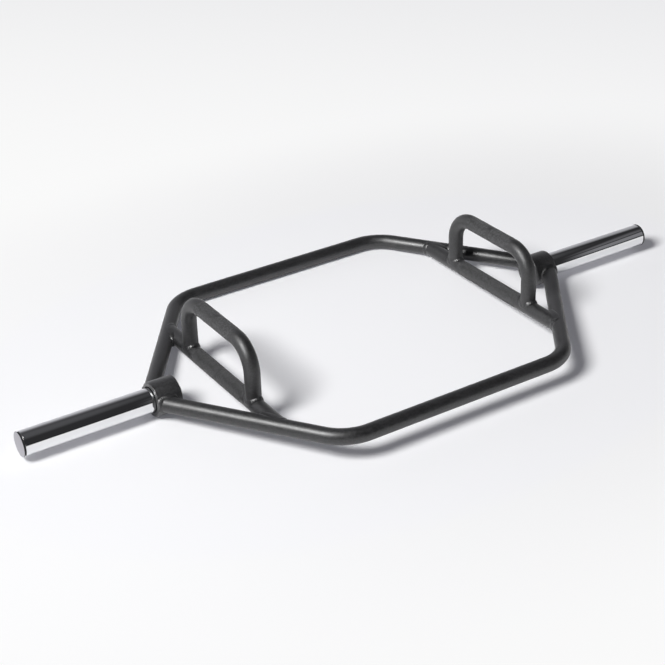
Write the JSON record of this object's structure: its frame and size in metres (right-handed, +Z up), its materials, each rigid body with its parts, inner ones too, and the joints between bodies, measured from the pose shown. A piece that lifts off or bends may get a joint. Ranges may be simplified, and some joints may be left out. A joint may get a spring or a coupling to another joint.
{
  "type": "hex trap bar",
  "caption": "Welded hexagonal deadlift bar of bent tube with a chromed plate sleeve at each end, low cross grips and raised grips inside the frame.",
  "frame": {"origin": "under the middle of the hexagon, level with the lowest line of the collars", "axes": "+X along the sleeves to the right end, +Y to the rear long side, +Z up through the raised grips"},
  "size_m": [1.511, 0.6998, 0.1704],
  "materials": {
    "black_powder_coat": "satin black powder coat with a fine texture",
    "chrome_plate": "bright chrome plate"
  },
  "bodies": {
    "root": {"front_frame_tube": "black_powder_coat", "rear_frame_tube": "black_powder_coat", "left_collar": "black_powder_coat", "right_collar": "black_powder_coat", "left_cross_tube": "black_powder_coat", "right_cross_tube": "black_powder_coat", "left_raised_handle": "black_powder_coat", "right_raised_handle": "black_powder_coat", "left_sleeve_inner_plug": "black_powder_coat", "right_sleeve_inner_plug": "black_powder_coat", "rear_right_collar_weld": "black_powder_coat", "rear_right_cross_tube_weld": "black_powder_coat", "rear_right_handle_weld": "black_powder_coat", "front_right_collar_weld": "black_powder_coat", "front_right_cross_tube_weld": "black_powder_coat", "front_right_handle_weld": "black_powder_coat", "front_left_collar_weld": "black_powder_coat", "front_left_cross_tube_weld": "black_powder_coat", "front_left_handle_weld": "black_powder_coat", "rear_left_collar_weld": "black_powder_coat", "rear_left_cross_tube_weld": "black_powder_coat", "rear_left_handle_weld": "black_powder_coat", "left_sleeve_weld": "black_powder_coat", "right_sleeve_weld": "black_powder_coat", "left_sleeve": "chrome_plate", "right_sleeve": "chrome_plate", "left_sleeve_end_cap": "chrome_plate", "right_sleeve_end_cap": "chrome_plate"}
  },
  "joints": []
}
